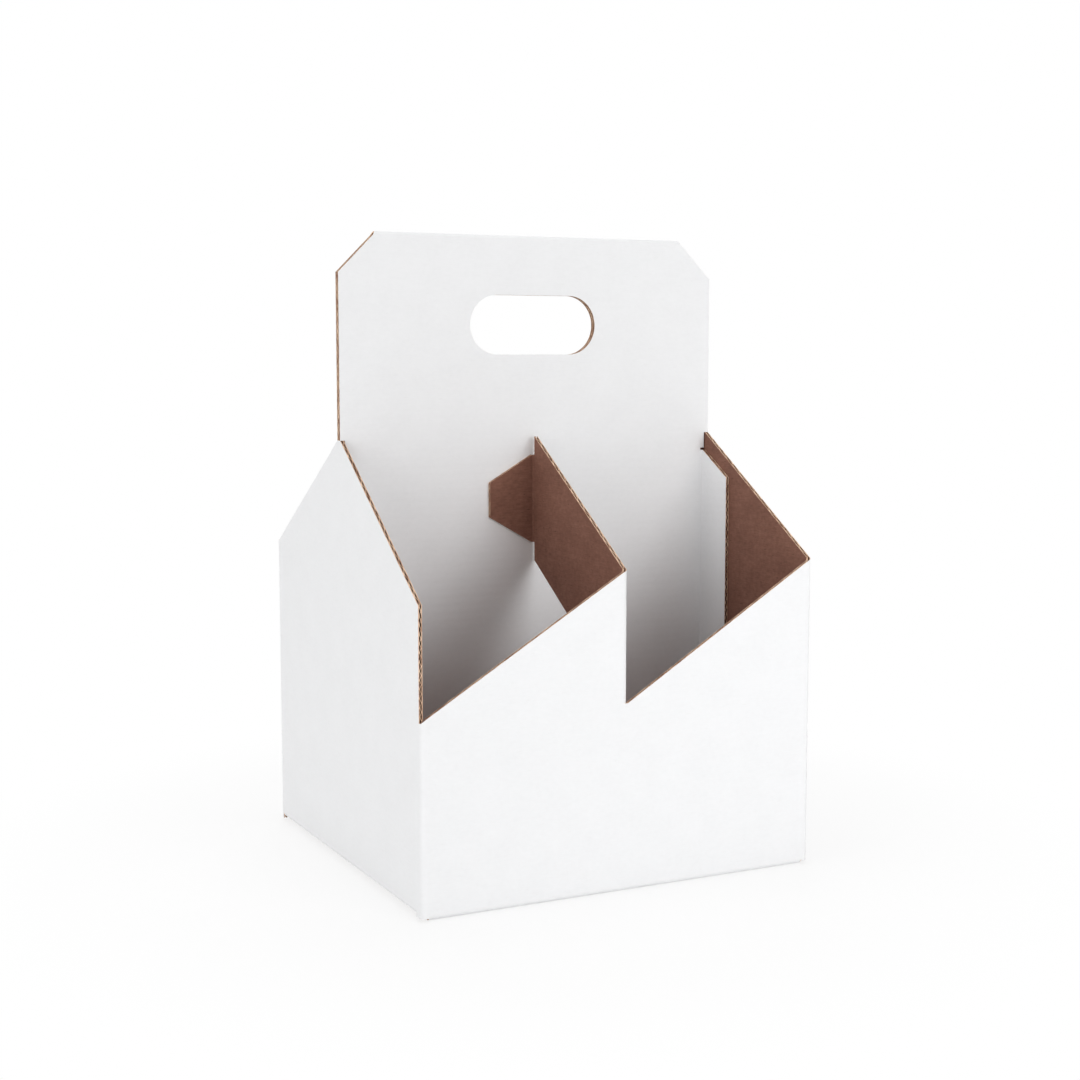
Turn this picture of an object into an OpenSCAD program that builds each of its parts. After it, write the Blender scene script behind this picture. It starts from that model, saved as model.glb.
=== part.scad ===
// Four-cell carrier, folded and glued from two sheets of white-faced corrugated board.
// Sizes are in millimetres. The origin is under the middle of the base, +Z is up,
// -Y is the front and +X is its right. The back is the front turned half round.

/* [Carrier] */
// Outside width, left to right
carrier_w = 178; // [168:1:220]
// Outside depth, front to back
carrier_d = 170; // [166:1:220]

/* [Heights above the base] */
// Lowest point of the notches in the front and the back
notch_h = 77; // [60:1:95]
// Top of the folded corners and of the middle tooth
corner_h = 131; // [120:1:145]
// Top of the raw corners, where a side panel stands free of the notch beside it
open_corner_h = 122; // [110:1:135]
// Peak of the side panels, where the shoulders of the handle sit
peak_h = 180; // [170:1:200]
// Top of the handle
handle_h = 266; // [250:1:300]

/* [Handle] */
// Leg of the 45 degree cut across each top corner
corner_cut = 17; // [6:1:30]
// Width of the hand hole
hole_w = 60; // [45:1:100]
// Height of the hand hole
hole_h = 25.4; // [20:0.2:32]
// Distance from the top of the handle down to the middle of the hand hole
hole_drop = 38; // [30:1:50]

/* [Board] */
// Thickness of the corrugated board
board_t = 1.6; // [1.2:0.1:2.4]
// Radius inside a fold
fold_r = 0.8; // [0.5:0.1:1.2]

/* [Flaps and tabs] */
// Width of the glue tabs on the handle and the straps
tab_w = 20; // [12:1:26]
// Width of the glue flap that closes the wall at its back left corner
joint_w = 28; // [20:1:36]
// Distance from the end of a fold to the end of the tab on it
tab_inset = 8; // [5:1:14]
// Angle at which the ends of a tab are cut back
tab_angle = 30; // [15:1:40]
// Gap where the two outer floor flaps meet
floor_seam = 1; // [0.4:0.2:3]
// Width of the slots that part a flap from its neighbours
slot_w = 1; // [0.5:0.1:2]

/* [Hidden] */
$fn = 64;

half_w = carrier_w / 2;
half_d = carrier_d / 2;

// A fold turns about bend_r outside, and its crease line lies crease_in from the outside corner
bend_r = fold_r + board_t;
crease_in = bend_r - (fold_r + board_t / 2) * PI / 4;

// A fold runs this far into the flat board on both sides of it
fold_lip = slot_w / 2;

// An end of a tab is cut back by no more than this share of the length of its fold
cut_share = 1 / 3;

// The handle is the board doubled, and so is the floor
handle_t = 2 * board_t;
floor_t = 2 * board_t;

// Cutting shapes run this far past what they cut
over = 3 * board_t;

// A strap stands on the middle line, and the tooth that it folds in from ends at its right face
tooth_x = board_t / 2;
tooth_rise = (corner_h - notch_h) / (half_w + tooth_x);
notch_rise = (corner_h - notch_h) / (half_w - tooth_x);
strap_end = -handle_t / 2 - bend_r;
strap_rise = peak_h - corner_h;

// Outer floor flaps and the lapped wall end short of the corner folds, and inner flaps clear the glue flap
flap_half = half_w - bend_r - slot_w;
inner_flap_half = half_d - board_t - bend_r - slot_w;
inner_flap_reach = min(half_w, half_d) - floor_seam / 2;

// Bottom of the side walls where they fold into the inner flaps
side_foot = board_t + bend_r;

// The handle's folds start here, and its tabs run between these heights
neck_x = half_w - board_t - bend_r;
handle_tab_low = floor_t + tab_inset;
handle_tab_top = peak_h - tab_inset;

// How far a tab of the given width and fold length is cut back at an end
function cut_back(width, length) = min(width * tan(tab_angle), cut_share * length);

// Outline of a tab that runs back from the end of its fold, with its height and how far its top is cut back
function tab_outline(start, width, low, top, top_cut) = [
    [start, low],
    [start, top],
    [start - fold_lip, top],
    [start - width, top - top_cut],
    [start - width, low + cut_back(width, top - low)],
    [start - fold_lip, low],
];

// Outline of the front wall in X and Z, with both corners, or with its right end cut to lap the glue flap
function front_outline(lapped) =
    let (right = lapped ? flap_half : half_w + over)
    [
        [-half_w - over, crease_in],
        [-flap_half, crease_in],
        [-flap_half, bend_r],
        [flap_half, bend_r],
        if (!lapped) [flap_half, crease_in],
        if (!lapped) [right, crease_in],
        [right, notch_h + notch_rise * (right - tooth_x)],
        [tooth_x, notch_h],
        [tooth_x - bend_r, notch_h],
        [tooth_x - bend_r, corner_h - tooth_rise * bend_r],
        [-half_w - over, notch_h - tooth_rise * over],
    ];

// Outline of the right side wall in Y and Z. Its near end is a corner fold, or the fold of the glue flap
function side_outline(lapped) =
    let (near = -half_d + bend_r + (lapped ? board_t : 0))
    [
        [near, corner_h],
        [near, crease_in],
        [-inner_flap_half, crease_in],
        [-inner_flap_half, side_foot],
        [inner_flap_half, side_foot],
        [inner_flap_half, crease_in],
        [half_d - bend_r, crease_in],
        [half_d - bend_r, notch_h],
        [half_d - crease_in, notch_h],
        [half_d - crease_in, open_corner_h],
        [handle_t / 2, peak_h],
        [-handle_t / 2, peak_h],
    ];

// Sheet of the board on an outline in X and Z, its front face at y
module board_xz(outline, y, thick = board_t) {
    translate([0, y, 0])
        mirror([0, 1, 0])
            rotate([90, 0, 0])
                linear_extrude(thick)
                    polygon(outline);
}

// Sheet of the board on an outline in Y and Z, its left face at x
module board_yz(outline, x) {
    translate([x, 0, 0])
        rotate([90, 0, 90])
            linear_extrude(board_t)
                polygon(outline);
}

// Quarter turn of the board about the Z axis, from +X round to +Y, with its lips
module bend(length) {
    rotate_extrude(angle = 90)
        translate([fold_r, 0])
            square([board_t, length]);
    translate([fold_r, -fold_lip, 0])
        cube([board_t, fold_lip, length]);
    translate([-fold_lip, fold_r, 0])
        cube([fold_lip, board_t, length]);
}

// Front wall with its corner folds, sawtooth top and outer floor flap
module front_wall(lapped) {
    intersection() {
        union() {
            translate([-half_w + bend_r, -half_d, 0])
                cube([carrier_w - 2 * bend_r, board_t, corner_h]);
            for (side = [0, 1])
                mirror([side, 0, 0])
                    translate([half_w - bend_r, -half_d + bend_r, 0])
                        rotate([0, 0, -90])
                            bend(corner_h);
        }
        board_xz(front_outline(lapped), -half_d - over, bend_r + 2 * over);
    }
    translate([-flap_half, -half_d + bend_r, bend_r])
        rotate([90, 0, 90])
            rotate([0, 0, 180])
                bend(2 * flap_half);
    translate([-flap_half, -half_d + bend_r, 0])
        cube([2 * flap_half, half_d - bend_r - floor_seam / 2, board_t]);
}

// Right side wall with its peak and inner floor flap
module side_wall(lapped) {
    board_yz(side_outline(lapped), half_w - board_t);
    translate([half_w - bend_r, inner_flap_half, side_foot])
        rotate([90, 0, 0])
            rotate([0, 0, -90])
                bend(2 * inner_flap_half);
    translate([half_w - inner_flap_reach, -inner_flap_half, board_t])
        cube([inner_flap_reach - bend_r, 2 * inner_flap_half, board_t]);
}

// Strap that folds in from the front tooth, climbs to the handle and ends in a glue tab
module strap() {
    tooth_top = corner_h + tooth_rise * over;
    intersection() {
        translate([tooth_x - bend_r, -half_d + bend_r, notch_h])
            rotate([0, 0, -90])
                bend(corner_h - notch_h);
        board_xz([
            [tooth_x - bend_r - over, notch_h - over],
            [tooth_x + over, notch_h - over],
            [tooth_x + over, tooth_top],
            [tooth_x - bend_r - over, tooth_top - tooth_rise * (bend_r + 2 * over)],
        ], -half_d - over, bend_r + 2 * over);
    }
    board_yz([
        [-half_d + bend_r, notch_h],
        [-half_d + bend_r + fold_lip, notch_h],
        [strap_end, notch_h + strap_rise],
        [strap_end, peak_h],
        [-half_d + bend_r, corner_h],
    ], tooth_x - board_t);

    tab_low = notch_h + strap_rise + tab_inset;
    tab_top = peak_h - tab_inset;
    tab_x = tooth_x - board_t - fold_r;
    translate([tab_x, strap_end, tab_low])
        bend(tab_top - tab_low);
    top_cut = cut_back(tab_w, tab_top - tab_low);
    board_xz(tab_outline(tab_x, tab_w, tab_low, tab_top, top_cut), -handle_t / 2 - board_t);
}

// Glue flap that folds in from the side wall behind the lapped wall
module glue_flap() {
    flap_x = half_w - bend_r;
    flap_low = floor_t + tab_inset;
    flap_top = corner_h - tab_inset - notch_rise * bend_r;
    translate([flap_x, -half_d + board_t + bend_r, crease_in])
        rotate([0, 0, -90])
            bend(corner_h - crease_in);
    board_xz(tab_outline(flap_x, joint_w, flap_low, flap_top, notch_rise * joint_w), -half_d + board_t);
}

// Outer sheet: four walls, four floor flaps, two straps and the glue flap that closes it
module carrier_body() {
    color("white") {
        front_wall(false);
        side_wall(false);
        strap();
        rotate([0, 0, 180]) {
            front_wall(true);
            side_wall(true);
            strap();
            glue_flap();
        }
    }
}

// Pair of glue tabs on the right end of the handle, one folded from each ply
module handle_tabs() {
    tab_length = handle_tab_top - handle_tab_low;
    tab_face = half_w - 2 * board_t;
    top_cut = cut_back(tab_w, tab_length);
    for (ply = [0, 1])
        mirror([0, ply, 0]) {
            translate([neck_x, -bend_r, handle_tab_low])
                bend(tab_length);
            board_yz(tab_outline(-bend_r, tab_w, handle_tab_low, handle_tab_top, top_cut), tab_face);
        }
    // Glue fills the crotch between the two folds
    translate([neck_x - fold_lip, -board_t / 2, handle_tab_low])
        cube([fold_lip + board_t / 2, board_t, tab_length]);
}

// Stadium through the handle
module hand_hole() {
    end_x = (hole_w - hole_h) / 2;
    translate([0, handle_t, handle_h - hole_drop])
        rotate([90, 0, 0])
            linear_extrude(2 * handle_t) {
                square([2 * end_x, hole_h], center = true);
                for (side = [-1, 1])
                    translate([side * end_x, 0])
                        circle(d = hole_h);
            }
}

// Inner sheet, doubled over at its top: the handle and the partition between front and back cells
module handle_panel() {
    neck_end = half_w - board_t - slot_w / 2;
    neck_low = handle_tab_top + slot_w;
    right_edge = [
        [neck_x, floor_t],
        [neck_x, neck_low],
        [neck_end, neck_low],
        [neck_end, peak_h],
        [half_w, peak_h],
        [half_w, handle_h - corner_cut],
        [half_w - corner_cut - over, handle_h + over],
    ];
    left_edge = [for (i = [len(right_edge) - 1:-1:0]) [-right_edge[i].x, right_edge[i].y]];
    color("white") {
        difference() {
            intersection() {
                union() {
                    translate([-carrier_w, -board_t, 0])
                        cube([2 * carrier_w, handle_t, handle_h - board_t]);
                    translate([-carrier_w, 0, handle_h - board_t])
                        rotate([90, 0, 90])
                            rotate_extrude(angle = 180)
                                square([board_t, 2 * carrier_w]);
                }
                board_xz(concat(right_edge, left_edge), -handle_t, 2 * handle_t);
            }
            hand_hole();
        }
        handle_tabs();
        rotate([0, 0, 180])
            handle_tabs();
    }
}

carrier_body();
handle_panel();
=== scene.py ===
"""Looks of a four-cell carrier of white-faced corrugated board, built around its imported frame.

Lengths are millimetres and angles are degrees. They become metres and radians as Blender gets them.
A sheet of board is first laid out flat, as it leaves the die: its run goes along the flutes and its rise
goes across them. Fold paths then carry the flat sheet into space, and three layers are made from it,
a white outer liner, a fluted medium and a brown inner liner, so every cut edge shows the real flutes.
"""

import logging
import math
from abc import ABC, abstractmethod
from dataclasses import dataclass, replace
from enum import Enum
from typing import Any, ClassVar, Union

import bpy
import numpy as np
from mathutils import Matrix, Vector

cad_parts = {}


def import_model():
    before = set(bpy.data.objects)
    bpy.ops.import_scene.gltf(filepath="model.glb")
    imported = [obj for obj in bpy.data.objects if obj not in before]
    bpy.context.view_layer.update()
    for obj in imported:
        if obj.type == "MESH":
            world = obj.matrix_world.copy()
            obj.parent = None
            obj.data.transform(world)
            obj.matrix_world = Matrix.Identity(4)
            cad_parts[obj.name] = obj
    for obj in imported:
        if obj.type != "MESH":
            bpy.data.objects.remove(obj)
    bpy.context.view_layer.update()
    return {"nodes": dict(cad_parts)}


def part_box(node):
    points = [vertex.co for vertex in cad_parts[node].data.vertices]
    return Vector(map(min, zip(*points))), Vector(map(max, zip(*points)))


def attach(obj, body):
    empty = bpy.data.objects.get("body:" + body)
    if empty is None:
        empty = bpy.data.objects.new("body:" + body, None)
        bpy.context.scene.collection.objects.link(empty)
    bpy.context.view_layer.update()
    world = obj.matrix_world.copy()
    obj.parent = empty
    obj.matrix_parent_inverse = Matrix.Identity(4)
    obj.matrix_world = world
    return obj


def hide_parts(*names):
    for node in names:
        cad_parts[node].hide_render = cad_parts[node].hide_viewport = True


LOG = logging.getLogger("carrier")

METRES = 0.001
SLACK = 1e-6
LEFT, RIGHT = 90.0, -90.0
X_AXIS, Y_AXIS, Z_AXIS = np.eye(3)
HALF_TURN = np.array([-1.0, -1.0, 1.0])

BOARD_UV = "board"
BAKE_UV = "OFBake"

WHITE = (1.0, 1.0, 1.0)
NOISE_MEAN = 0.5
NOISE_ROUGH = 0.55
# A Mix node has its sockets once for each type of data. These are the ones for colours.
MIX_FIRST, MIX_SECOND, MIX_RESULT = 6, 7, 2

Triple = tuple[float, float, float]
Colour = Triple
Stops = list[tuple[float, Colour]]
Line = tuple[tuple[float, float], ...]
Input = Union["Sock", bpy.types.NodeSocket, float, tuple[float, ...]]


def distinct(values: np.ndarray) -> np.ndarray:
    """Sorts values and leaves out those that repeat the one before."""
    ordered = np.sort(values)
    return ordered[np.diff(ordered, prepend=-np.inf) > SLACK]


def opaque(colour: Colour) -> tuple[float, ...]:
    """Gives a colour its full alpha."""
    return (*colour, 1.0)


class Along(Enum):
    """The direction of a flat sheet that a fold path bends."""

    RUN = "run"
    RISE = "rise"


class Layer(Enum):
    """The three papers that corrugated board is glued up from, outside first."""

    OUTER_LINER = "outer_liner"
    FLUTING = "fluting"
    INNER_LINER = "inner_liner"


class Face(Enum):
    """The three kinds of face on one layer, which are its material slots in this order."""

    OUTSIDE = 0
    INSIDE = 1
    CUT = 2


class Sock:
    """A number in a shader. Python's operators on it add Math nodes to its graph."""

    def __init__(self, graph: "Graph", socket: bpy.types.NodeSocket) -> None:
        """Keeps the output socket and the graph that it is in."""
        self.graph = graph
        self.socket = socket

    def __add__(self, other: Input) -> "Sock":
        """Sum."""
        return self.graph.math("ADD", self, other)

    def __sub__(self, other: Input) -> "Sock":
        """Difference."""
        return self.graph.math("SUBTRACT", self, other)

    def __rsub__(self, other: Input) -> "Sock":
        """Difference from a plain number."""
        return self.graph.math("SUBTRACT", other, self)

    def __mul__(self, other: Input) -> "Sock":
        """Product."""
        return self.graph.math("MULTIPLY", self, other)

    __radd__ = __add__
    __rmul__ = __mul__

    def sine(self) -> "Sock":
        """Sine of an angle in radians."""
        return self.graph.math("SINE", self)

    def most(self, other: Input) -> "Sock":
        """The larger of two numbers."""
        return self.graph.math("MAXIMUM", self, other)


class Graph:
    """The node tree of one material or world, with one method that makes any node."""

    def __init__(self, owner: Union[bpy.types.Material, bpy.types.World]) -> None:
        """Empties the owner's node tree.

        Args:
            owner: The material or world.
        """
        owner.use_nodes = True
        self.tree = owner.node_tree
        self.tree.nodes.clear()

    def node(self, kind: str, settings: dict[str, Any] | None = None,
             inputs: dict[Union[str, int], Input] | None = None) -> bpy.types.Node:
        """Makes one node.

        Args:
            kind: The node's type, without its ShaderNode prefix.
            settings: Properties to set first. The key stops holds a colour ramp's positions and colours.
            inputs: Values or sockets for the node's inputs, by name or number.

        Returns:
            The new node.
        """
        made = self.tree.nodes.new("ShaderNode" + kind)
        for key, value in (settings or {}).items():
            if key == "stops":
                self._set_stops(made.color_ramp, value)
            else:
                setattr(made, key, value)
        for key, value in (inputs or {}).items():
            socket = made.inputs[key]
            source = value.socket if isinstance(value, Sock) else value
            if isinstance(source, bpy.types.NodeSocket):
                self.tree.links.new(source, socket)
            else:
                socket.default_value = opaque(source) if socket.type == "RGBA" else source
        return made

    @staticmethod
    def _set_stops(ramp: bpy.types.ColorRamp, stops: Stops) -> None:
        """Gives a ramp its positions and colours, in order.

        Args:
            ramp: The ramp.
            stops: Positions with their colours.
        """
        while len(ramp.elements) < len(stops):
            ramp.elements.new(1.0)
        for element, (place, colour) in zip(ramp.elements, stops):
            element.position = place
            element.color = opaque(colour)

    def out(self, made: bpy.types.Node, name: Union[str, int] = 0) -> Sock:
        """Wraps one output of a node."""
        return Sock(self, made.outputs[name])

    def math(self, operation: str, *values: Input) -> Sock:
        """Adds one Math node on the values and returns its result."""
        return self.out(self.node("Math", {"operation": operation}, dict(enumerate(values))))

    def place(self) -> Sock:
        """Gives the place on the object, in metres."""
        return self.out(self.node("TexCoord"), "Object")

    def stretched(self, vector: Input, stretch: Triple) -> Sock:
        """Multiplies a vector by another, part by part."""
        return self.out(self.node("VectorMath", {"operation": "MULTIPLY"}, {0: vector, 1: stretch}))

    def noise(self, vector: Input, scale: float, detail: float) -> Sock:
        """Adds a Noise texture on a vector, from about 0 to 1."""
        return self.out(self.node("TexNoise", {"noise_dimensions": "3D"}, {
            "Vector": vector, "Scale": scale, "Detail": detail, "Roughness": NOISE_ROUGH}))

    def between(self, value: Input, low: float, high: float) -> Sock:
        """Goes smoothly from 0 to 1 as the value goes from low to high."""
        return self.out(self.node("MapRange", {"interpolation_type": "SMOOTHSTEP"}, {
            "Value": value, "From Min": low, "From Max": high}))

    def ramp(self, factor: Input, stops: Stops) -> bpy.types.NodeSocket:
        """Adds a colour ramp and returns its colour."""
        return self.node("ValToRGB", {"stops": stops}, {0: factor}).outputs[0]

    def mixed(self, share: Input, first: Input, second: Input) -> bpy.types.NodeSocket:
        """Mixes two colours by the share of the second one."""
        made = self.node("Mix", {"data_type": "RGBA"}, {0: share, MIX_FIRST: first, MIX_SECOND: second})
        return made.outputs[MIX_RESULT]

    def blended(self, share: Input, first: bpy.types.Node, second: bpy.types.Node) -> bpy.types.Node:
        """Mixes two shaders by the share of the second one."""
        return self.node("MixShader", {}, {0: share, 1: self.out(first), 2: self.out(second)})

    def background_ray(self) -> Sock:
        """Tells the rays that show the backdrop: camera, glossy and transmission rays.

        Returns:
            1 for these rays, and 0 for those that carry light.
        """
        path = self.node("LightPath")
        seen = self.out(path, "Is Camera Ray")
        return seen.most(self.out(path, "Is Glossy Ray")).most(self.out(path, "Is Transmission Ray"))

    def show(self, shader: bpy.types.Node, output: str = "OutputMaterial") -> None:
        """Makes a shader the one that the owner shows."""
        self.node(output, {}, {"Surface": self.out(shader)})


@dataclass(frozen=True)
class PaperFinish:
    """Paper of one kind, with the fibres and flecks of its make.

    Scales and stretches are spots in a metre, and stops and bands are values of noise.

    Attributes:
        name: The material's name.
        light: Colour of the thin spots between fibres.
        middle: Colour of most of the sheet.
        dark: Colour of dense fibres.
        fleck: Colour of stray fibres.
        fleck_share: Share of the fleck colour in a fleck.
        rough: Mean roughness.
        grain: Height of the paper's grain.
        washboard: Height of the ridges that the flutes press through the paper.
    """

    name: str
    light: Colour
    middle: Colour
    dark: Colour
    fleck: Colour
    fleck_share: float
    rough: float
    grain: float
    washboard: float

    cloud_scale: float = 70.0
    formation_scale: float = 520.0
    fibre_stretch: Triple = (210.0, 2400.0, 1.0)
    fleck_stretch: Triple = (330.0, 1500.0, 1.0)
    grain_scale: float = 2600.0
    tone_shares: Triple = (0.3, 0.35, 0.35)
    tone_stops: Triple = (0.34, 0.5, 0.66)
    fleck_band: tuple[float, float] = (0.66, 0.76)
    rough_swing: float = 0.12
    specular: float = 0.4

    def material(self, pitch: float) -> bpy.types.Material:
        """Makes the paper: clouds, fibres along the run, flecks, grain, and ridges across the rise.

        Args:
            pitch: Distance from one ridge to the next.

        Returns:
            The new material.
        """
        made = bpy.data.materials.new(self.name)
        graph = Graph(made)
        flat = graph.out(graph.node("UVMap", {"uv_map": BOARD_UV}))
        clouds = graph.noise(flat, self.cloud_scale, detail=2.0)
        formation = graph.noise(flat, self.formation_scale, detail=4.0)
        fibres = graph.noise(graph.stretched(flat, self.fibre_stretch), 1.0, detail=3.0)
        flecks = graph.noise(graph.stretched(flat, self.fleck_stretch), 1.0, detail=1.0)
        cloud_share, formation_share, fibre_share = self.tone_shares
        tone = clouds * cloud_share + formation * formation_share + fibres * fibre_share
        colour = graph.ramp(tone, list(zip(self.tone_stops, (self.dark, self.middle, self.light))))
        fleck = graph.between(flecks, *self.fleck_band) * self.fleck_share

        rise = graph.out(graph.node("SeparateXYZ", {}, {0: flat}), "Y")
        ridges = (rise * (2 * math.pi / (pitch * METRES))).sine()
        grain = graph.noise(flat, self.grain_scale, detail=3.0)
        height = ridges * (self.washboard / 2) + grain * self.grain
        bump = graph.node("Bump", {}, {"Strength": 1.0, "Distance": METRES, "Height": height})
        graph.show(graph.node("BsdfPrincipled", {}, {
            "Base Color": graph.mixed(fleck, colour, self.fleck),
            "Roughness": (formation - NOISE_MEAN) * self.rough_swing + self.rough,
            "Normal": graph.out(bump), "Specular IOR Level": self.specular}))
        return made


WHITE_LINER = PaperFinish(
    "white_liner", light=(0.912, 0.915, 0.923), middle=(0.893, 0.896, 0.904), dark=(0.87, 0.873, 0.881),
    fleck=(0.74, 0.72, 0.69), fleck_share=0.12, rough=0.58, grain=0.004, washboard=0.016)
# Painted shade: these kraft colours are darker and redder than plain kraft. Part is the paper's own
# brown, part is painted shade and painted red bounce light.
KRAFT_LINER_WITH_PAINTED_SHADE = PaperFinish(
    "kraft_liner_with_painted_shade", light=(0.276, 0.130, 0.089), middle=(0.216, 0.096, 0.064), dark=(0.16, 0.067, 0.044),
    fleck=(0.085, 0.037, 0.025), fleck_share=0.6, rough=0.86, grain=0.012, washboard=0.03)
KRAFT_MEDIUM = PaperFinish(
    "kraft_medium", light=(0.15, 0.072, 0.05), middle=(0.115, 0.053, 0.036), dark=(0.085, 0.037, 0.025),
    fleck=(0.05, 0.022, 0.015), fleck_share=0.6, rough=0.9, grain=0.012, washboard=0.0)


@dataclass(frozen=True)
class CutFinish:
    """Raw edge of the papers, where the die has torn light fibres out of them."""

    name: str = "cut_paper"
    light: Colour = (0.88, 0.61, 0.43)
    dark: Colour = (0.47, 0.26, 0.165)
    rough: float = 0.95
    fibre_scale: float = 1500.0
    patch_scale: float = 180.0
    fibre_share: float = 0.4
    tone_stops: tuple[float, float] = (0.4, 0.54)
    specular: float = 0.2

    def material(self) -> bpy.types.Material:
        """Makes the edge: light fibres in patches over a darker ground.

        Returns:
            The new material.
        """
        made = bpy.data.materials.new(self.name)
        graph = Graph(made)
        place = graph.place()
        fibres = graph.noise(place, self.fibre_scale, detail=3.0)
        patches = graph.noise(place, self.patch_scale, detail=2.0)
        tone = fibres * self.fibre_share + patches * (1 - self.fibre_share)
        graph.show(graph.node("BsdfPrincipled", {}, {
            "Base Color": graph.ramp(tone, list(zip(self.tone_stops, (self.dark, self.light)))),
            "Roughness": self.rough, "Specular IOR Level": self.specular}))
        return made


@dataclass(frozen=True)
class FloorFinish:
    """Pale floor with a soft shadow in its middle. From near to far it goes over into the backdrop."""

    name: str = "pale_floor"
    colour: Colour = (0.9, 0.9, 0.9)
    rough: float = 0.9
    near: float = 110.0
    far: float = 270.0
    shadow: float = 0.22

    def material(self) -> bpy.types.Material:
        """Makes the floor, which mixes lit paint with plain white for the rays that show the backdrop.

        Returns:
            The new material.
        """
        made = bpy.data.materials.new(self.name)
        graph = Graph(made)
        reach = graph.out(graph.node("VectorMath", {"operation": "LENGTH"}, {0: graph.place()}), "Value")
        fade = graph.between(reach, self.near * METRES, self.far * METRES)
        share = (1 - (1 - fade) * self.shadow) * graph.background_ray()
        paint = graph.node("BsdfPrincipled", {}, {"Base Color": self.colour, "Roughness": self.rough})
        white = graph.node("Emission", {}, {"Color": WHITE, "Strength": 1.0})
        graph.show(graph.blended(share, paint, white))
        return made


@dataclass(frozen=True)
class Board:
    """Corrugated board, with the sizes of its papers, its flutes and its folds.

    The inner gap keeps its inner face back, so that two plies don't share a face.
    """

    thick: float = 1.6
    fold_r: float = 0.8
    liner: float = 0.33
    medium: float = 0.28
    pitch: float = 3.5
    inner_gap: float = 0.0
    steps_in_flute: int = 8

    @property
    def bend_r(self) -> float:
        """Radius of the outer face in a fold."""
        return self.fold_r + self.thick

    @property
    def quarter(self) -> float:
        """Flat length of the board in a quarter turn, at half its thickness."""
        return (self.fold_r + self.thick / 2) * math.pi / 2

    @property
    def crease_in(self) -> float:
        """Distance from the outside corner of a fold to its crease line on the flat sheet."""
        return self.bend_r - self.quarter / 2

    def depths(self, layer: Layer, rise: np.ndarray) -> tuple[np.ndarray, np.ndarray]:
        """Gives how deep a layer lies under the outer face of the board.

        The liners are flat. The medium swings between them as a sine of the rise.

        Args:
            layer: The paper.
            rise: Place across the flutes.

        Returns:
            Depth of the layer's outer face and of its inner face.
        """
        flat = np.zeros_like(rise)
        if layer is Layer.OUTER_LINER:
            return flat, flat + self.liner
        if layer is Layer.INNER_LINER:
            return flat + self.thick - self.liner, flat + self.thick - self.inner_gap
        swing = self.thick - 2 * self.liner - self.medium
        near = self.liner + swing * (1 + np.sin(2 * np.pi * rise / self.pitch)) / 2
        return near, near + self.medium


@dataclass(frozen=True)
class Leg:
    """One stretch of a fold path, straight or bent.

    Attributes:
        length: Flat length of the stretch.
        turn: Angle that it turns to the left, or 0 where it is straight.
        radius: Radius of the outer face in the bend.
    """

    length: float
    turn: float = 0.0
    radius: float = 0.0


@dataclass
class FoldPath:
    """Line that the outer face of the board follows, seen along its folds, with its outside on the right.

    Attributes:
        start: First point.
        heading: Direction at the first point.
        origin: Place on the flat sheet at the first point.
        legs: The stretches in order.
        bend_steps: Steps of the mesh in a bend.
        support: Distance from a bend to the next mark of the mesh.
    """

    start: tuple[float, float]
    heading: float
    origin: float
    legs: tuple[Leg, ...]

    bend_steps: int = 8
    support: float = 0.6

    def __post_init__(self) -> None:
        """Walks the legs once and keeps where each one starts."""
        point, heading, place = np.array(self.start, float), math.radians(self.heading), self.origin
        rows = []
        for leg in self.legs:
            turn = math.radians(leg.turn)
            rows.append((place, *point, heading, turn, leg.length, leg.radius))
            point = self._walk(np.array(rows[-1:]), np.array([leg.length]))[0][0]
            heading, place = heading + turn, place + leg.length
        self._rows = np.array(rows)

    @staticmethod
    def _walk(rows: np.ndarray, along: np.ndarray) -> tuple[np.ndarray, np.ndarray]:
        """Goes along each row's leg: straight on its heading, or round its bend's centre.

        Args:
            rows: For each point its leg's place, start, heading, turn, length and radius.
            along: Flat length from the start of the leg.

        Returns:
            The points on the outer face and the unit vectors that point into the board.
        """
        _, x, y, heading, turn, length, radius = rows.T
        angle = heading + turn * along / length
        first = np.column_stack([-np.sin(heading), np.cos(heading)])
        inward = np.column_stack([-np.sin(angle), np.cos(angle)])
        straight = along[:, None] * np.column_stack([np.cos(heading), np.sin(heading)])
        bent = (np.sign(turn) * radius)[:, None] * (first - inward)
        return np.column_stack([x, y]) + np.where(turn[:, None] == 0, straight, bent), inward

    def place(self, flat: np.ndarray) -> tuple[np.ndarray, np.ndarray]:
        """Finds places of the flat sheet on the path.

        Args:
            flat: Places on the flat sheet. Past its ends the path goes straight on.

        Returns:
            The points on the outer face and the unit vectors that point into the board.
        """
        starts = self._rows[:, 0]
        leg = np.clip(np.searchsorted(starts, flat, side="right") - 1, 0, len(starts) - 1)
        return self._walk(self._rows[leg], flat - starts[leg])

    def marks(self) -> np.ndarray:
        """Lists the places that a mesh needs.

        Returns:
            The steps in each bend, and one place close by on either side of it.
        """
        place, _, _, _, turn, length, _ = self._rows.T
        start, length = place[turn != 0], length[turn != 0]
        steps = start + np.outer(np.linspace(0.0, 1.0, self.bend_steps + 1), length)
        return np.concatenate([steps.ravel(), start - self.support, start + length + self.support])


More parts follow.
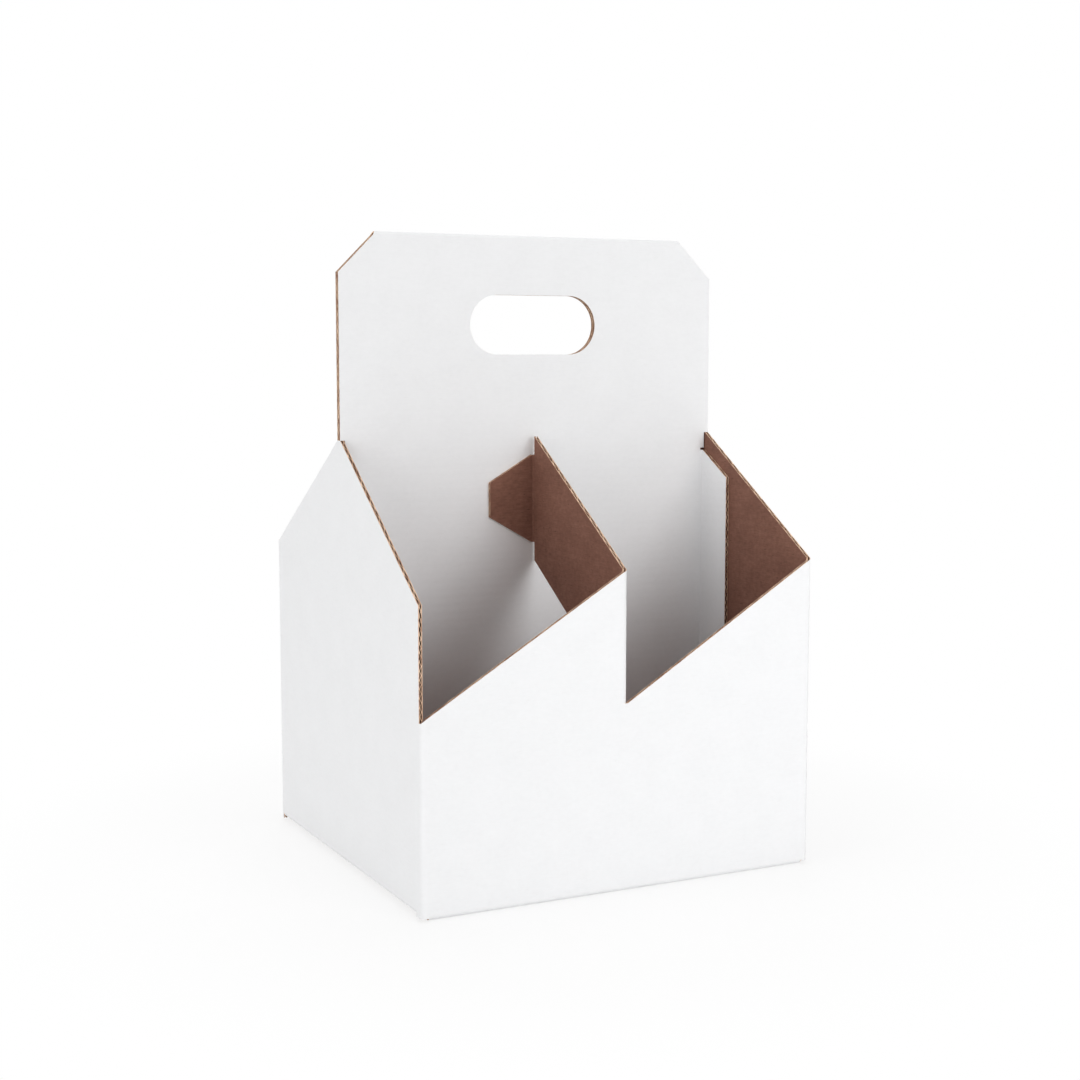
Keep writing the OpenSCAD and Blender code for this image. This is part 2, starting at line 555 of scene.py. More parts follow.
@dataclass
class Lay:
    """How a flat sheet lies in space: one direction follows a fold path and the other one is straight.

    Attributes:
        path: The fold path.
        first: Unit vector of the path's first coordinate.
        second: Unit vector of the path's second coordinate.
        straight: Unit vector of the direction that isn't bent.
        along: The direction that the path bends.
        turned: Whether the whole lay is turned half round the vertical axis.
    """

    path: FoldPath
    first: np.ndarray
    second: np.ndarray
    straight: np.ndarray
    along: Along
    turned: bool = False

    def place(self, run: np.ndarray, rise: np.ndarray, depth: np.ndarray) -> np.ndarray:
        """Carries flat places into space: along the path, in by the depth, and straight across it.

        Args:
            run: Place along the flutes.
            rise: Place across the flutes.
            depth: Depth under the outer face.

        Returns:
            The points.
        """
        bent, level = (run, rise) if self.along is Along.RUN else (rise, run)
        point, inward = self.path.place(bent)
        point = point + depth[:, None] * inward
        spots = point[:, :1] * self.first + point[:, 1:] * self.second + level[:, None] * self.straight
        return spots * HALF_TURN if self.turned else spots


@dataclass(frozen=True)
class Zone:
    """Part of a flat sheet between a left and a right edge, each a broken line of rise and run."""

    left: Line
    right: Line

    @classmethod
    def upright(cls, low: float, high: float, left: float, right: float) -> "Zone":
        """Makes a rectangle."""
        return cls(((low, left), (high, left)), ((low, right), (high, right)))

    def edges(self, rise: np.ndarray) -> tuple[np.ndarray, ...]:
        """Gives the run of both edges at each rise."""
        return tuple(np.interp(rise, *np.array(line).T) for line in (self.left, self.right))

    def span(self) -> tuple[float, float]:
        """Gives the lowest and the highest rise."""
        return self.left[0][0], self.left[-1][0]

    def breaks(self, runs: np.ndarray) -> np.ndarray:
        """Finds the rises at which a row of the mesh is needed.

        Args:
            runs: Runs of the mesh's columns.

        Returns:
            The rises where an edge turns, and where it crosses a column.
        """
        found = []
        for line in (np.array(self.left), np.array(self.right)):
            found.append(line[:, 0])
            low, step = line[:-1], np.diff(line, axis=0)
            leans = np.abs(step[:, 1]) > SLACK
            share = (runs - low[leans, 1:]) / step[leans, 1:]
            rise = low[leans, :1] + share * step[leans, :1]
            found.append(rise[(share > 0) & (share < 1)])
        return np.concatenate(found)


@dataclass
class Panel:
    """Zones of a flat sheet that lie in space in one way, and the columns that its neighbours need."""

    lay: Lay
    zones: tuple[Zone, ...]
    columns: tuple[float, ...] = ()

    def _marks(self, along: Along) -> np.ndarray:
        """Gives the marks of the path, if it bends this direction."""
        return self.lay.path.marks() if self.lay.along is along else np.empty(0)

    def turned(self) -> "Panel":
        """Makes the same panel, turned half round."""
        return replace(self, lay=replace(self.lay, turned=True))

    def runs(self) -> np.ndarray:
        """Gives the runs of the mesh's columns, in order."""
        return distinct(np.concatenate([self._marks(Along.RUN), np.array(self.columns)]))

    def rises(self) -> np.ndarray:
        """Gives the rises of the rows that this panel needs."""
        runs = self.runs()
        return np.concatenate([self._marks(Along.RISE), *(zone.breaks(runs) for zone in self.zones)])

    def box(self) -> np.ndarray:
        """Gives the lowest and the highest run and rise."""
        spots = np.array([spot for zone in self.zones for spot in zone.left + zone.right])[:, ::-1]
        return np.array([spots.min(axis=0), spots.max(axis=0)])


@dataclass
class Side:
    """Faces of one kind, with the place of each corner on the flat sheet and on the chart."""

    kind: Face
    faces: np.ndarray
    flat: np.ndarray
    chart: np.ndarray


@dataclass
class Sheet:
    """One die-cut sheet of board, made of panels that share their folds.

    Points in one cell of the weld become one, and its shift keeps points off the borders of the cells.
    The chart is a map on which the outside, the inside and the cut edges of all panels lie apart.
    """

    name: str
    board: Board
    panels: list[Panel]

    weld: float = 0.0097
    weld_shift: float = 0.314
    row_gap: float = 0.06
    sharp: float = 40.0
    shelf_w: float = 800.0
    chart_gap: float = 6.0
    strip_h: float = 4.0
    least_strip: float = 1.5

    def build(self, layer: Layer) -> bpy.types.Object:
        """Makes one paper of the sheet as a closed mesh: its outside, its inside and its cut edges.

        Args:
            layer: The paper.

        Returns:
            The new object, at the origin.
        """
        flat, chart, near, far, quads = self._grids(layer)
        keys = np.floor(np.hstack([near, far]) / self.weld + self.weld_shift).astype(np.int64)
        _, first, joined = np.unique(keys, axis=0, return_index=True, return_inverse=True)
        joined, count = joined.reshape(-1), len(first)
        wide, high = chart.max(axis=0)
        lift = np.array([0.0, high + self.chart_gap])

        sides = []
        corners = self._corners(joined[quads], quads)
        for corner in corners:
            back = corner[:, ::-1]
            sides.append(Side(Face.OUTSIDE, joined[corner], flat[corner], chart[corner]))
            sides.append(Side(Face.INSIDE, joined[back] + count, flat[back], chart[back] + lift))
        start, end = self._rim(corners, joined, count)
        edge = np.column_stack([end, start, start, end])
        strips = self._strips(np.linalg.norm(flat[end] - flat[start], axis=1), wide, 2 * lift[1])
        sides.append(Side(Face.CUT, joined[edge] + np.array([0, 0, count, count]), flat[edge], strips))
        return self._object(layer, np.vstack([near[first], far[first]]), sides)

    def _grids(self, layer: Layer) -> tuple[np.ndarray, ...]:
        """Lays a grid over every zone: rows of one rise, with each column held between the zone's edges.

        Args:
            layer: The paper, whose flutes need closer rows than its liners.

        Returns:
            Places on the flat sheet and on the chart, points on the outer face and on the inner face, and
            four-cornered faces.
        """
        needed = distinct(np.concatenate([panel.rises() for panel in self.panels]))
        flat, chart, near, far, quads = [], [], [], [], []
        offset = 0
        for panel, move in zip(self.panels, self._shelves()):
            runs = np.concatenate([[-np.inf], panel.runs(), [np.inf]])
            for zone in panel.zones:
                rise = self._rows(needed, zone, layer)
                left, right = zone.edges(rise)
                run = np.clip(runs, left[:, None], right[:, None])
                wide = np.diff(run, axis=1) > SLACK
                row, column = np.nonzero(wide[:-1] | wide[1:])
                corner = offset + row * len(runs) + column
                above = corner + len(runs)
                quads.append(np.column_stack([corner, corner + 1, above + 1, above]))
                rises = np.repeat(rise, len(runs))
                outer, inner = self.board.depths(layer, rises)
                flat.append(np.column_stack([run.ravel(), rises]))
                chart.append(flat[-1] + move)
                near.append(panel.lay.place(run.ravel(), rises, outer))
                far.append(panel.lay.place(run.ravel(), rises, inner))
                offset += run.size
        return tuple(np.vstack(rows) for rows in (flat, chart, near, far, quads))

    def _rows(self, needed: np.ndarray, zone: Zone, layer: Layer) -> np.ndarray:
        """Picks the rises of a zone's rows.

        Args:
            needed: Rises that the sheet needs somewhere.
            zone: The zone.
            layer: The paper.

        Returns:
            The rises in order. The medium has more of them, in step with its flutes.
        """
        low, high = zone.span()
        rows = needed[(needed > low - SLACK) & (needed < high + SLACK)]
        if layer is Layer.FLUTING:
            step = self.board.pitch / self.board.steps_in_flute
            waves = np.arange(math.ceil(low / step), math.floor(high / step) + 1) * step
            apart = np.abs(waves[:, None] - rows).min(axis=1) > self.row_gap
            rows = np.sort(np.concatenate([rows, waves[apart]]))
        return np.clip(rows, low, high)

    @staticmethod
    def _corners(welded: np.ndarray, quads: np.ndarray) -> list[np.ndarray]:
        """Sorts the faces by their corners, and drops those that have shrunk to a line.

        Args:
            welded: The faces' corners after welding.
            quads: The same corners before it.

        Returns:
            The faces with four corners, then those with three, before welding.
        """
        same = welded == np.roll(welded, -1, axis=1)
        lost = same.sum(axis=1)
        gone = same[lost == 1].argmax(axis=1)
        kept = (gone[:, None] + np.array([1, 2, 3])) % 4
        return [quads[lost == 0], np.take_along_axis(quads[lost == 1], kept, axis=1)]

    @staticmethod
    def _rim(corners: list[np.ndarray], joined: np.ndarray, count: int) -> tuple[np.ndarray, np.ndarray]:
        """Finds the cut edges: the sides of faces that no other face runs along the other way.

        Args:
            corners: Faces by their corners before welding.
            joined: The welded point of each corner.
            count: Number of welded points.

        Returns:
            The start and the end of each cut edge, before welding.
        """
        start = np.concatenate([face.ravel() for face in corners])
        end = np.concatenate([np.roll(face, -1, axis=1).ravel() for face in corners])
        forth = joined[start] * count + joined[end]
        back = joined[end] * count + joined[start]
        cut = ~np.isin(forth, back)
        return start[cut], end[cut]

    def _shelves(self) -> np.ndarray:
        """Sets the flat panels side by side on the shelves of a chart, the tallest first.

        Returns:
            How far each panel is moved along the run and the rise.
        """
        boxes = np.array([panel.box() for panel in self.panels])
        moves, sizes = -boxes[:, 0], np.ptp(boxes, axis=1) + self.chart_gap
        spot, top = np.zeros(2), 0.0
        for index in np.argsort(-sizes[:, 1], kind="stable"):
            wide, high = sizes[index]
            if spot[0] + wide > self.shelf_w:
                spot = np.array([0.0, top])
            moves[index] += spot
            top = max(top, spot[1] + high)
            spot = spot + np.array([wide, 0.0])
        return moves

    def _strips(self, length: np.ndarray, wide: float, low: float) -> np.ndarray:
        """Sets the cut edges end to end in rows on the chart, each as a strip of one height.

        Args:
            length: Length of each edge.
            wide: Length of a row.
            low: Where the first row starts.

        Returns:
            The places of each strip's corners, in the order of a rim face.
        """
        length = np.maximum(length, self.least_strip)
        along = np.cumsum(length) - length
        row = np.floor(along / wide)
        left, bottom = along - row * wide, low + row * self.strip_h
        right, top = left + length, bottom + self.strip_h
        return np.stack([right, bottom, left, bottom, left, top, right, top], axis=1).reshape(-1, 4, 2)

    def _object(self, layer: Layer, spots: np.ndarray, sides: list[Side]) -> bpy.types.Object:
        """Hands the arrays to Blender, smooth in the folds and sharp at the cut edges.

        One UV map is the flat sheet. The other one is the chart, shrunk into the unit square.

        Args:
            layer: The paper, which names the piece.
            spots: Points of the mesh.
            sides: Its faces.

        Returns:
            The new object.
        """
        name = f"{self.name}_{layer.value}"
        mesh = bpy.data.meshes.new(name)
        mesh.from_pydata(spots * METRES, [], [face for side in sides for face in side.faces.tolist()])
        kinds = np.concatenate([np.full(len(side.faces), side.kind.value, np.int32) for side in sides])
        mesh.polygons.foreach_set("material_index", kinds)
        mesh.polygons.foreach_set("use_smooth", np.ones(len(kinds), bool))
        flat = np.vstack([side.flat.reshape(-1, 2) for side in sides])
        chart = np.vstack([side.chart.reshape(-1, 2) for side in sides])
        square = (chart + self.chart_gap / 2) / (chart.max(axis=0) + self.chart_gap)
        for uv_name, places in ((BOARD_UV, flat * METRES), (BAKE_UV, square)):
            mesh.uv_layers.new(name=uv_name).data.foreach_set("uv", places.astype(np.float32).ravel())
        mesh.update()
        mesh.set_sharp_from_angle(angle=math.radians(self.sharp))
        piece = bpy.data.objects.new(name, mesh)
        bpy.context.scene.collection.objects.link(piece)
        return piece


@dataclass(frozen=True)
class Papers:
    """The materials that dress a sheet."""

    white: bpy.types.Material
    kraft_with_painted_shade: bpy.types.Material
    medium: bpy.types.Material
    cut: bpy.types.Material

    @classmethod
    def of(cls, board: Board) -> "Papers":
        """Makes the materials for a board, whose flutes show faintly through its liners."""
        papers = (WHITE_LINER, KRAFT_LINER_WITH_PAINTED_SHADE, KRAFT_MEDIUM)
        return cls(*(paper.material(board.pitch) for paper in papers), CutFinish().material())

    def faces(self, layer: Layer) -> tuple[bpy.types.Material, ...]:
        """Gives a layer's materials, in the order of its kinds of face."""
        return {
            Layer.OUTER_LINER: (self.white, self.medium, self.cut),
            Layer.FLUTING: (self.medium, self.medium, self.cut),
            # The inner liner's inside carries the kraft colours with painted shade and painted red bounce
            # light.
            Layer.INNER_LINER: (self.medium, self.kraft_with_painted_shade, self.cut),
        }[layer]


@dataclass
class SheetPart(ABC):
    """A sub-assembly that is one sheet of board, and stands for one node of the frame.

    Its glue tabs have slanted ends, and stay inset from the ends of the wall that they fold from.
    """

    name: ClassVar[str]
    node: ClassVar[str]

    board: Board
    half_w: float
    half_d: float
    peak_h: float

    tab_w: float = 20.0
    tab_inset: float = 8.0
    tab_lean: float = 30.0
    slot_w: float = 1.0

    @property
    def floor_t(self) -> float:
        """Thickness of the doubled floor."""
        return 2 * self.board.thick

    @property
    def tab_slope(self) -> float:
        """Slope of a glue tab's slanted ends."""
        return math.tan(math.radians(self.tab_lean))

    def bend(self, turn: float) -> Leg:
        """Makes a quarter fold, with the white face outside it to the left and inside it to the right."""
        return Leg(self.board.quarter, turn, self.board.bend_r if turn > 0 else self.board.fold_r)

    def tab_edge(self, low: float, top: float, fold: float) -> Line:
        """Gives the free edge of a glue tab.

        Args:
            low: Lower end of its fold.
            top: Upper end of its fold.
            fold: Run of its fold.

        Returns:
            The edge, as rise and run.
        """
        cut, end = self.tab_slope * self.tab_w, fold + self.tab_w
        return (low, fold), (low + cut, end), (top - cut, end), (top, fold)

    @staticmethod
    def standing(path: FoldPath) -> Lay:
        """Stands a sheet up along a path that is seen from above."""
        return Lay(path, X_AXIS, Y_AXIS, Z_AXIS, Along.RUN)

    @abstractmethod
    def panels(self) -> list[Panel]:
        """Gives the panels of the flat sheet."""

    def build(self) -> dict[Layer, bpy.types.Object]:
        """Makes the three papers of the sheet."""
        sheet = Sheet(self.name, self.board, self.panels())
        return {layer: sheet.build(layer) for layer in Layer}

    def dress(self, pieces: dict[Layer, bpy.types.Object], papers: Papers) -> None:
        """Gives each paper its materials and its place in the frame.

        Args:
            pieces: The papers.
            papers: The materials.
        """
        for layer, piece in pieces.items():
            for material in papers.faces(layer):
                piece.data.materials.append(material)
            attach(piece, "root")
            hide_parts(self.node)
            LOG.info("%s: %d faces", piece.name, len(piece.data.polygons))


@dataclass
class CarrierBody(SheetPart):
    """Outer sheet: four walls with sawtooth tops, two straps, four floor flaps and a glue flap.

    The notches open two of its corners, which are a little lower than the whole ones.
    """

    name: ClassVar[str] = "body"
    node: ClassVar[str] = "carrier_body"

    notch_h: float = 77.0
    corner_h: float = 131.0
    open_corner_h: float = 122.0
    joint_w: float = 28.0
    floor_seam: float = 1.0

    @property
    def flat_w(self) -> float:
        """Half the flat width of the front wall, between its corner folds."""
        return self.half_w - self.board.bend_r

    @property
    def flat_d(self) -> float:
        """Half the flat depth of a side wall, between its corner folds."""
        return self.half_d - self.board.bend_r

    @property
    def flap_half(self) -> float:
        """Half the width of an outer floor flap."""
        return self.flat_w - self.slot_w

    @property
    def inner_half(self) -> float:
        """Half the width of an inner floor flap, which clears the glue flap."""
        return self.flat_d - self.board.thick - self.slot_w

    @property
    def side_foot(self) -> float:
        """Height of a side wall's floor fold."""
        return self.board.thick + self.board.bend_r

    @property
    def front_start(self) -> float:
        """Run at which the corner fold at the front wall's left starts."""
        return -self.flat_w - self.board.quarter

    @property
    def tooth(self) -> float:
        """Run of the right face of the strap, where the notch beside it is lowest."""
        return self.board.thick / 2

    @property
    def strap_start(self) -> float:
        """Run at which the strap's fold starts."""
        return self.tooth - self.board.bend_r

    @property
    def tooth_rise(self) -> float:
        """Slope of the top of the front's left half."""
        return (self.corner_h - self.notch_h) / (self.half_w + self.tooth)

    @property
    def tooth_top(self) -> float:
        """Height of the tooth where the strap's fold starts."""
        return self.corner_h - self.tooth_rise * self.board.bend_r

    @property
    def notch_rise(self) -> float:
        """Slope of the top of the front's right half."""
        return (self.corner_h - self.notch_h) / (self.half_w - self.tooth)

    def side_run(self, y: float) -> float:
        """Gives the run of a place on the right side wall."""
        return self.flat_w + self.board.quarter + self.flat_d + y

    def front_columns(self) -> tuple[float, ...]:
        """Gives the columns that the front wall shares with its floor flap and its strap."""
        start = self.strap_start
        return -self.flap_half, start - FoldPath.support, start, self.tooth, self.flap_half

    def side_columns(self) -> tuple[float, ...]:
        """Gives the columns that a side wall shares with its floor flap and with the wall behind it."""
        places = (-self.inner_half, self.inner_half, self.flat_d - FoldPath.support, self.flat_d)
        return tuple(self.side_run(y) for y in places)

    def front_zones(self) -> tuple[Zone, ...]:
        """Gives what only the left half of the front wall has, up to the strap's fold.

        Returns:
            The strip beside the floor flap and the tooth.
        """
        board, start, top = self.board, self.strap_start, self.tooth_top
        corner = -self.flat_w
        fold_top = self.notch_h + self.tooth_rise * board.bend_r
        slope = ((self.notch_h, corner - board.quarter / 2), (fold_top, corner), (top, start))
        return (
            Zone.upright(board.crease_in, board.bend_r, self.front_start, -self.flap_half),
            Zone(slope, ((self.notch_h, start), (top, start))),
        )

    def side_zones(self, near: float, start: float, top_left: Line) -> tuple[Zone, ...]:
        """Gives a side wall, with the wall in front of it where the two are one panel.

        Args:
            near: Run at which the strip beside the floor flap's near end starts.
            start: Run at which all that is under the notches starts.
            top_left: Left edge of all that is above the notches, up to the peak.

        Returns:
            The strips beside the floor flap, the peak, the free strip past the far corner's notch, and
            the strip and the wall under the notches.
        """
        board = self.board
        far, free = self.side_run(self.flat_d), self.side_run(self.half_d - board.crease_in)
        half_ridge = board.thick
        lean = (self.peak_h - self.open_corner_h) / (self.half_d - board.crease_in - half_ridge)
        cross = self.open_corner_h + lean * (free - far)
        left, right = self.side_run(-half_ridge), self.side_run(half_ridge)
        flap_near, flap_far = self.side_run(-self.inner_half), self.side_run(self.inner_half)
        return (
            Zone.upright(board.crease_in, self.side_foot, flap_far, far),
            Zone.upright(board.crease_in, board.bend_r, near, flap_near),
            Zone((*top_left, (self.peak_h, left)),
                 ((self.notch_h, far), (cross, far), (self.peak_h, right))),
            Zone(((self.notch_h, far), (cross, far)),
                 ((self.notch_h, free), (self.open_corner_h, free), (cross, far))),
            Zone.upright(board.bend_r, self.side_foot, start, flap_near),
            Zone.upright(self.side_foot, self.notch_h, start, far),
        )

    def whole_half(self) -> Panel:
        """Makes the front wall and the right side wall in one, with both corner folds.

        Returns:
            The two walls.
        """
        path = FoldPath((-self.half_w, -self.flat_d), heading=-90.0, origin=self.front_start, legs=(
            self.bend(LEFT), Leg(2 * self.flat_w), self.bend(LEFT), Leg(2 * self.flat_d)))
        slope = ((self.notch_h, self.tooth), (self.corner_h, self.side_run(-self.flat_d)))
        zones = (*self.front_zones(), *self.side_zones(self.flap_half, self.front_start, slope))
        return Panel(self.standing(path), zones, self.front_columns() + self.side_columns())

    def lapped_wall(self) -> Panel:
        """Makes the back wall where the front wall is, with its end cut to lap the glue flap.

        Returns:
            The wall.
        """
        path = FoldPath((-self.half_w, -self.flat_d), heading=-90.0, origin=self.front_start, legs=(
            self.bend(LEFT), Leg(2 * self.flat_w)))
        end = self.flap_half
        end_h = self.notch_h + self.notch_rise * (end - self.tooth)
        zones = (
            *self.front_zones(),
            Zone.upright(self.board.bend_r, self.notch_h, self.front_start, end),
            Zone(((self.notch_h, self.tooth), (end_h, end)), ((self.notch_h, end), (end_h, end))),
        )
        return Panel(self.standing(path), zones, self.front_columns())

    def lapped_side(self) -> Panel:
        """Makes the left side wall where the right one is, with the glue flap that folds in from it.

        Returns:
            The wall and its flap.
        """
        board = self.board
        near_y = -self.flat_d + board.thick
        near = self.side_run(near_y)
        fold = near - board.quarter
        end = fold - self.joint_w
        corner = (self.flat_w - self.joint_w, -self.half_d + board.thick)
        path = FoldPath(corner, heading=0.0, origin=end, legs=(
            Leg(self.joint_w), self.bend(LEFT), Leg(self.flat_d - near_y)))
        low = self.floor_t + self.tab_inset
        top = self.corner_h - self.tab_inset - self.notch_rise * board.bend_r
        cut = ((low, fold), (low + self.tab_slope * self.joint_w, end),
               (top - self.notch_rise * self.joint_w, end), (top, fold))
        zones = (
            Zone(cut, ((low, fold), (top, fold))),
            *self.side_zones(fold, fold, ((self.notch_h, near), (self.corner_h, near))),
            Zone.upright(self.notch_h, self.corner_h, fold, near),
        )
        return Panel(self.standing(path), zones, self.side_columns())

    def strap(self) -> Panel:
        """Makes the strap that folds in from the front's tooth, climbs to the handle and ends in a tab.

        Returns:
            The strap.
        """
        board = self.board
        start, fold = self.strap_start, self.strap_start + board.quarter
        length = self.flat_d - board.thick - board.bend_r
        end = fold + length
        tab = end + board.quarter
        path = FoldPath((start, -self.half_d), heading=0.0, origin=start, legs=(
            self.bend(LEFT), Leg(length), self.bend(LEFT), Leg(self.tab_w)))
        low_end = self.notch_h + self.peak_h - self.corner_h
        low, top = low_end + self.tab_inset, self.peak_h - self.tab_inset
        zones = (
            Zone(((self.notch_h, start), (self.tooth_top, start),
                  (self.corner_h, fold), (self.peak_h, end)),
                 ((self.notch_h, fold), (low_end, end), (self.peak_h, end))),
            Zone.upright(low, top, end, tab),
            Zone(((low, tab), (top, tab)), self.tab_edge(low, top, tab)),
        )
        return Panel(self.standing(path), zones)

    def outer_flap(self) -> Panel:
        """Makes the floor flap of the front wall.

        Returns:
            The flap.
        """
        board = self.board
        reach = self.flat_d - self.floor_seam / 2
        origin = board.bend_r - board.quarter - reach
        path = FoldPath((self.floor_seam / 2, 0.0), heading=0.0, origin=origin, legs=(
            Leg(reach), self.bend(LEFT)))
        lay = Lay(path, -Y_AXIS, Z_AXIS, X_AXIS, Along.RISE)
        zone = Zone.upright(origin, board.bend_r, -self.flap_half, self.flap_half)
        return Panel(lay, (zone,), self.front_columns())

    def inner_flap(self) -> Panel:
        """Makes the floor flap of the right side wall.

        Returns:
            The flap.
        """
        board = self.board
        reach = min(self.half_w, self.half_d) - self.floor_seam / 2 - board.bend_r
        origin = self.side_foot - board.quarter - reach
        path = FoldPath((self.flat_w - reach, board.thick), heading=0.0, origin=origin, legs=(
            Leg(reach), self.bend(LEFT)))
        zone = Zone.upright(origin, self.side_foot, -self.inner_half, self.inner_half)
        return Panel(Lay(path, X_AXIS, Z_AXIS, Y_AXIS, Along.RISE), (zone,))

    def panels(self) -> list[Panel]:
        """Gives a whole half, a turned one that is cut for the glue joint, and what folds from both.

        Returns:
            The panels.
        """
        lapped = [self.lapped_wall().turned(), self.lapped_side().turned()]
        folded = [self.strap(), self.outer_flap(), self.inner_flap()]
        return [self.whole_half(), *lapped, *folded, *(panel.turned() for panel in folded)]


@dataclass
class HandlePanel(SheetPart):
    """Inner sheet, doubled over at its top: the handle and the partition between front and back cells."""

    name: ClassVar[str] = "handle"
    node: ClassVar[str] = "handle_panel"

    handle_h: float = 266.0
    corner_cut: float = 17.0
    hole_w: float = 60.0
    hole_h: float = 25.4
    hole_drop: float = 38.0
    ply_gap: float = 0.03
    hole_steps: int = 96

    def __post_init__(self) -> None:
        """Keeps each ply a hair away from the middle, so that the two don't share a face."""
        self.board = replace(self.board, inner_gap=self.ply_gap)

    @property
    def neck(self) -> float:
        """Run at which the end folds start."""
        return self.half_w - self.board.thick - self.board.bend_r

    def hole_edge(self, side: float) -> Line:
        """Gives one end of the hand hole, a half circle from its bottom to its top.

        Args:
            side: 1 at the right end and -1 at the left end.

        Returns:
            The edge, as rise and run.
        """
        radius = self.hole_h / 2
        middle = self.handle_h - self.hole_drop
        angle = np.linspace(-np.pi / 2, np.pi / 2, self.hole_steps + 1)
        run = side * (self.hole_w / 2 - radius + radius * np.cos(angle))
        return tuple(zip((middle + radius * np.sin(angle)).tolist(), run.tolist()))

    def ply(self) -> Panel:
        """Makes the front ply with half of the fold at its top.

        Returns:
            The ply.
        """
        thick, half_w, neck = self.board.thick, self.half_w, self.neck
        fold_h = self.handle_h - thick
        fold = Leg(thick / 2 * math.pi / 2, LEFT, thick)
        path = FoldPath((thick, self.floor_t), heading=90.0, origin=self.floor_t, legs=(
            Leg(fold_h - self.floor_t), fold))
        top, chamfer_h = fold_h + fold.length, self.handle_h - self.corner_cut
        top_half = half_w - (top - chamfer_h)
        neck_h = self.peak_h - self.tab_inset + self.slot_w
        neck_end = half_w - thick - self.slot_w / 2
        left_hole, right_hole = self.hole_edge(-1.0), self.hole_edge(1.0)
        (hole_low, hole_end), (hole_top, _) = right_hole[0], right_hole[-1]
        zones = (
            Zone.upright(self.floor_t, neck_h, -neck, neck),
            Zone.upright(neck_h, self.peak_h, -neck_end, neck_end),
            Zone.upright(self.peak_h, hole_low, -half_w, half_w),
            Zone(((hole_low, -half_w), (hole_top, -half_w)), left_hole),
            Zone(right_hole, ((hole_low, half_w), (hole_top, half_w))),
            Zone.upright(hole_top, chamfer_h, -half_w, half_w),
            Zone(((chamfer_h, -half_w), (top, -top_half)), ((chamfer_h, half_w), (top, top_half))),
        )
        right = (hole_end, neck - FoldPath.support, neck, neck_end)
        columns = tuple(side * run for side in (-1.0, 1.0) for run in right)
        return Panel(Lay(path, -Y_AXIS, Z_AXIS, X_AXIS, Along.RISE), zones, columns)

    def tabs(self) -> list[Panel]:
        """Makes the glue tabs at both ends of the front ply.

        Returns:
            The right tab and the left tab.
        """
        board, neck = self.board, self.neck
        low, top = self.floor_t + self.tab_inset, self.peak_h - self.tab_inset
        face_x, end_y = neck + board.fold_r, -board.bend_r - self.tab_w
        fold, end = neck + board.quarter, neck + board.quarter + self.tab_w
        edge = self.tab_edge(low, top, fold)
        left_edge = tuple((rise, -run) for rise, run in edge)
        right_path = FoldPath((neck, -board.thick), heading=0.0, origin=neck, legs=(
            self.bend(RIGHT), Leg(self.tab_w)))
        left_path = FoldPath((-face_x, end_y), heading=90.0, origin=-end, legs=(
            Leg(self.tab_w), self.bend(RIGHT)))
        right = (Zone.upright(low, top, neck, fold), Zone(((low, fold), (top, fold)), edge))
        left = (Zone.upright(low, top, -fold, -neck), Zone(left_edge, ((low, -fold), (top, -fold))))
        return [Panel(self.standing(right_path), right), Panel(self.standing(left_path), left)]

    def panels(self) -> list[Panel]:
        """Gives two plies that meet at the top, with their tabs."""
        front = [self.ply(), *self.tabs()]
        return front + [panel.turned() for panel in front]


@dataclass(frozen=True)
class SoftBox:
    """A square soft light that looks at one point."""

    name: str
    place: Triple
    aim: Triple
    size: float
    power: float

    def build(self) -> None:
        """Hangs the light and aims it."""
        light = bpy.data.lights.new(self.name, "AREA")
        light.size = self.size * METRES
        light.energy = self.power
        lamp = bpy.data.objects.new(self.name, light)
        lamp.location = Vector(self.place) * METRES
        ahead = Vector(self.aim) - Vector(self.place)
        lamp.rotation_euler = ahead.to_track_quat("-Z", "Y").to_euler()
        bpy.context.scene.collection.objects.link(lamp)


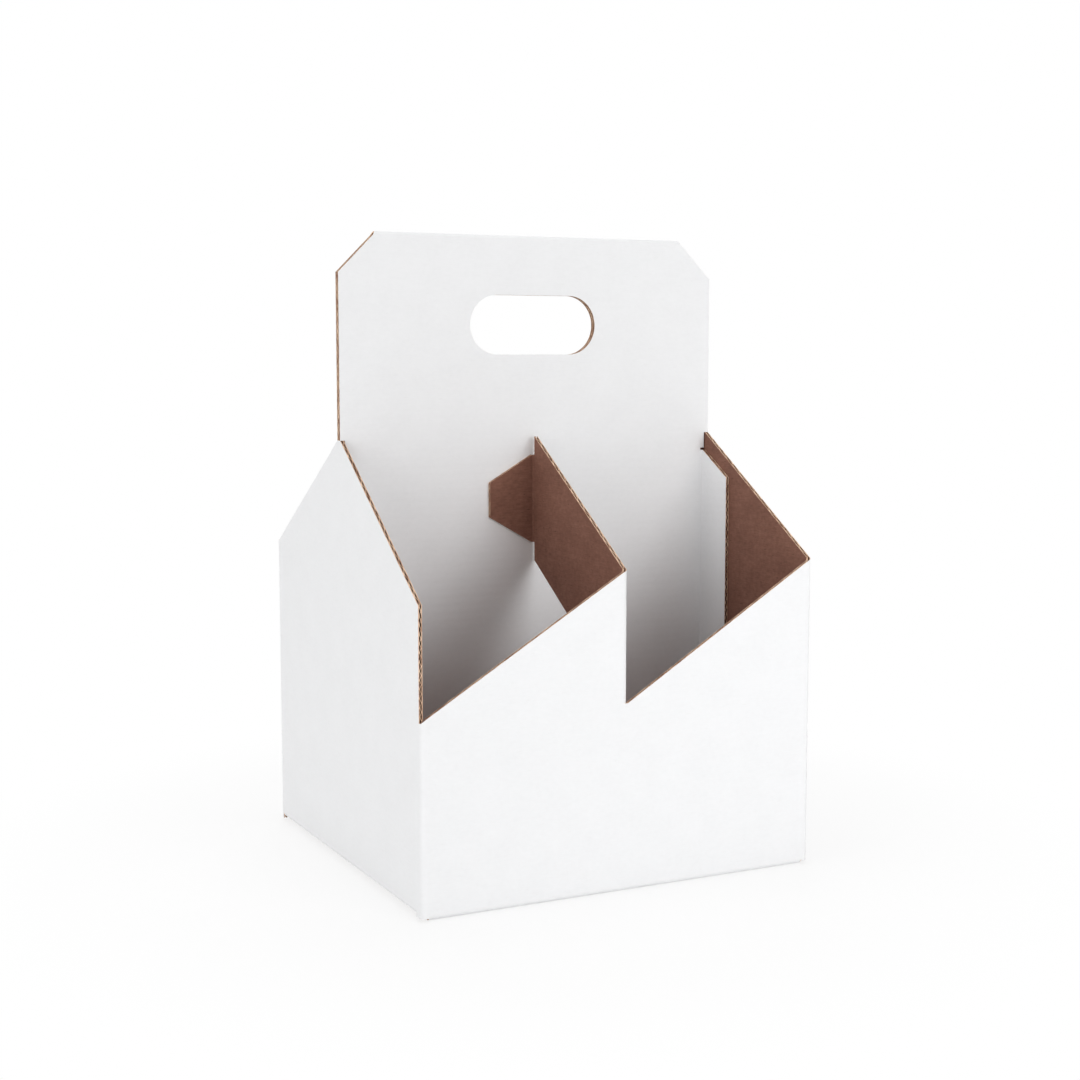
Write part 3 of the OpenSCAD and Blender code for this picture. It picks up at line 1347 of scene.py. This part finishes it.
@dataclass
class Studio:
    """Floor, white backdrop, lights, and a camera that is turned to the right and looks down a little."""

    floor_reach: float = 1600.0
    floor_drop: float = 0.2
    floor_corners: int = 64
    room_light: float = 0.37
    eye: Triple = (-338.2, -684.8, 216.3)
    yaw: float = 26.55
    pitch: float = 6.12
    lens: float = 58.37
    sensor: float = 36.0
    boxes: tuple[SoftBox, ...] = (
        SoftBox("key_light", place=(240, -820, 260), aim=(0, -120, -80), size=500, power=2.65),
        SoftBox("side_light", place=(-1400, -300, 600), aim=(0, 0, 120), size=1200, power=8.0),
        SoftBox("top_light", place=(0, 150, 1700), aim=(0, 0, 120), size=1200, power=9.5),
        SoftBox("back_light", place=(500, 1500, 900), aim=(0, 0, 120), size=1200, power=6.0),
    )

    def build(self) -> None:
        """Sets up everything around the object."""
        self.floor()
        self.world()
        for box in self.boxes:
            box.build()
        self.camera()
        bpy.context.scene.view_settings.view_transform = "Standard"

    def floor(self) -> None:
        """Makes the floor, a disc under the base: radius times the cosine and the sine of the angle."""
        angle = np.arange(self.floor_corners) * 2 * np.pi / self.floor_corners
        spots = np.column_stack([self.floor_reach * np.cos(angle), self.floor_reach * np.sin(angle),
                                 np.full(self.floor_corners, -self.floor_drop)])
        mesh = bpy.data.meshes.new("floor")
        mesh.from_pydata(spots * METRES, [], [list(range(self.floor_corners))])
        mesh.materials.append(FloorFinish().material())
        floor = bpy.data.objects.new("floor", mesh)
        bpy.context.scene.collection.objects.link(floor)

    def world(self) -> None:
        """Makes the surroundings: plain white where they are seen, and a dimmer grey as light."""
        world = bpy.data.worlds.new("studio")
        bpy.context.scene.world = world
        graph = Graph(world)
        lit, seen = (graph.node("Background", {}, {"Color": WHITE, "Strength": strength})
                     for strength in (self.room_light, 1.0))
        graph.show(graph.blended(graph.background_ray(), lit, seen), "OutputWorld")

    def camera(self) -> None:
        """Makes the camera, level from side to side, and makes it the scene's own."""
        data = bpy.data.cameras.new("camera")
        data.sensor_width = self.sensor
        data.lens = self.lens
        camera = bpy.data.objects.new("camera", data)
        camera.location = Vector(self.eye) * METRES
        camera.rotation_euler = (math.radians(90.0 - self.pitch), 0.0, math.radians(-self.yaw))
        bpy.context.scene.collection.objects.link(camera)
        bpy.context.scene.camera = camera


def main() -> None:
    """Builds the object's pieces and the studio around them."""
    logging.basicConfig(level=logging.INFO, format="%(message)s")
    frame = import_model()
    LOG.info("frame: %s", ", ".join(sorted(frame["nodes"])))
    board = Board()
    half_w, half_d, peak_h = (np.array(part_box(CarrierBody.node)[1]) / METRES).tolist()
    handle_h = float(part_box(HandlePanel.node)[1][2] / METRES)
    papers = Papers.of(board)
    for part in (CarrierBody(board, half_w, half_d, peak_h),
                 HandlePanel(board, half_w, half_d, peak_h, handle_h=handle_h)):
        part.dress(part.build(), papers)
    Studio().build()


if __name__ == "__main__":
    main()
